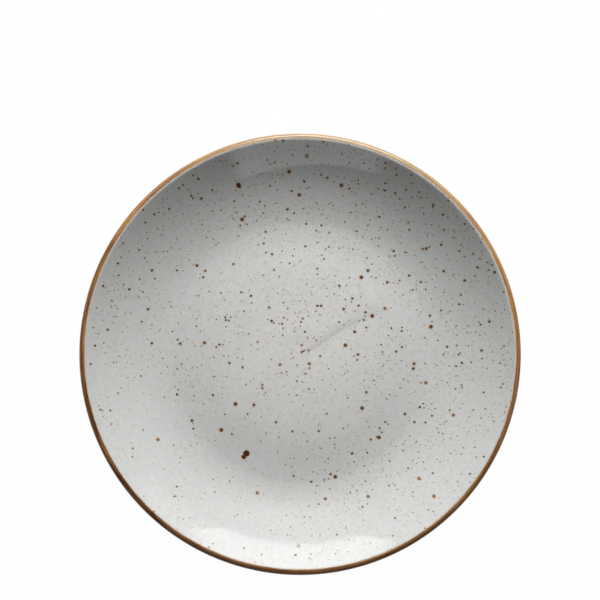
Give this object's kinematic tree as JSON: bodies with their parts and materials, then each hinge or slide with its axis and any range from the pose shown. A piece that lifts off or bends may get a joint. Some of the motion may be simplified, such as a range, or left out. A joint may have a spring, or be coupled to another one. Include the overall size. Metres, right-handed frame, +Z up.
{
  "type": "coupe plate",
  "caption": "Round rimless ceramic dinner plate with a slightly crowned well, a curved-up wall, a brown banded lip and a bare foot ring; holds a serving of food.",
  "frame": {"origin": "middle of the foot ring's tread, on the table", "axes": "+Z up along the plate's axis of revolution; +X and +Y lie in the table's plane"},
  "size_m": [0.26, 0.26, 0.0265],
  "materials": {
    "biscuit": "matte",
    "speckled_glaze": "polished",
    "iron_band": "gloss"
  },
  "bodies": {
    "root": {"clay_body": "biscuit", "front_glaze": "speckled_glaze", "lip_band": "iron_band", "back_glaze": "speckled_glaze", "foot_hollow_glaze": "speckled_glaze"}
  },
  "joints": []
}
